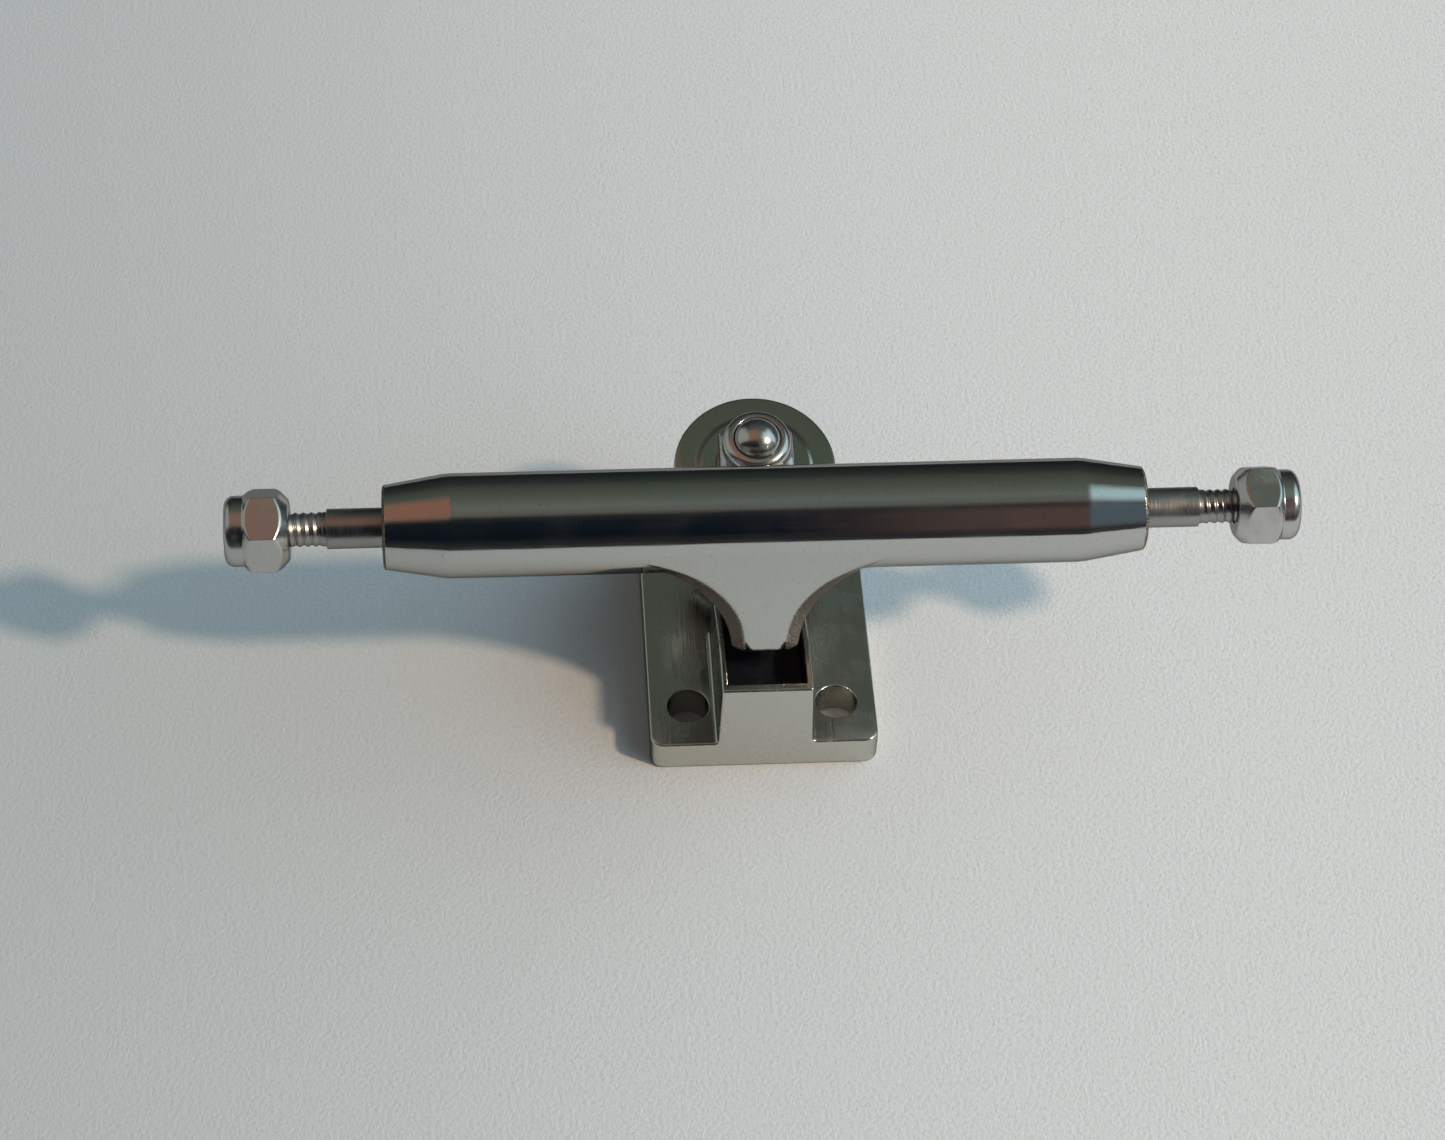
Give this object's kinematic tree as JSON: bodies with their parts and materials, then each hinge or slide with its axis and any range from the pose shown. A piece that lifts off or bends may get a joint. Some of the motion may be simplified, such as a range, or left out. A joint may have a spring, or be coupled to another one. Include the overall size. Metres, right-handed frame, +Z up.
{
  "type": "miniature skateboard truck",
  "caption": "Miniature single-kingpin truck: a plated hanger with a threaded axle and lock nuts, rocking on soft bushings above a screw-down baseplate with a pivot housing.",
  "frame": {"origin": "middle of the baseplate's underside, in the middle of the screw pattern", "axes": "+X along the axle to the right, +Y from the pivot end to the kingpin end, +Z up from the deck"},
  "size_m": [0.034, 0.0108, 0.0095],
  "materials": {
    "plated_base": "bright plated casting with fine lengthwise polishing streaks",
    "plated_hanger": "mirror plated casting",
    "plated_washer": "plated pressed sheet, slightly dulled",
    "polished_steel": "polished nickel-plated steel",
    "turned_steel": "turned steel with a satin surface",
    "black_cup": "black moulded urethane",
    "bushing_urethane": "black moulded urethane with a soft sheen",
    "nylon": "milky nylon"
  },
  "bodies": {
    "base": {"baseplate": "plated_base", "pivot_cup": "black_cup", "kingpin": "polished_steel", "lower_cup_washer": "plated_washer", "lower_bushing": "bushing_urethane", "upper_bushing": "bushing_urethane", "upper_cup_washer": "plated_washer"},
    "hanger": {"hanger": "plated_hanger", "axle": "turned_steel"},
    "kingpin_nut_ring": {"kingpin_nut_insert": "nylon"},
    "kingpin_nut": {"kingpin_nut": "polished_steel"},
    "left_nut_ring": {"axle_nut_left_insert": "nylon"},
    "left_nut": {"axle_nut_left": "polished_steel"},
    "right_nut_ring": {"axle_nut_right_insert": "nylon"},
    "right_nut": {"axle_nut_right": "polished_steel"}
  },
  "joints": [
    {"name": "hanger_steer", "type": "hinge", "parent": "base", "child": "hanger", "pos_m": [0, -0.002, 0.00325], "axis": [0, 0.9781, 0.2079], "range_deg": [-10, 10], "stiffness_Nm_per_rad": 0.002, "deforming": ["lower_bushing", "upper_bushing"]},
    {"name": "kingpin_nut_travel", "type": "slide", "parent": "base", "child": "kingpin_nut_ring", "axis": [0, -0.2079, 0.9781], "range_m": [0, 0.00225]},
    {"name": "kingpin_nut_turn", "type": "hinge", "parent": "kingpin_nut_ring", "child": "kingpin_nut", "pos_m": [0, 0.00269, 0.00425], "axis": [0, -0.2079, 0.9781], "range_deg": [0, 3240.5]},
    {"name": "axle_nut_left_travel", "type": "slide", "parent": "hanger", "child": "left_nut_ring", "axis": [-1, 0, 0], "range_m": [-0.001, 0.002]},
    {"name": "axle_nut_left_turn", "type": "hinge", "parent": "left_nut_ring", "child": "left_nut", "pos_m": [-0.016, -0.0016, 0.0078], "axis": [-1, 0, 0], "range_deg": [-1440.5, 2880.5]},
    {"name": "axle_nut_right_travel", "type": "slide", "parent": "hanger", "child": "right_nut_ring", "axis": [1, 0, 0], "range_m": [-0.001, 0.002]},
    {"name": "axle_nut_right_turn", "type": "hinge", "parent": "right_nut_ring", "child": "right_nut", "pos_m": [0.016, -0.0016, 0.0078], "axis": [1, 0, 0], "range_deg": [-1440.5, 2880.5]}
  ],
  "couplings": [
    {"joint": "kingpin_nut_turn", "follows": "kingpin_nut_travel", "rad_per_m": 25133},
    {"joint": "axle_nut_left_turn", "follows": "axle_nut_left_travel", "rad_per_m": 25133},
    {"joint": "axle_nut_right_turn", "follows": "axle_nut_right_travel", "rad_per_m": 25133}
  ]
}
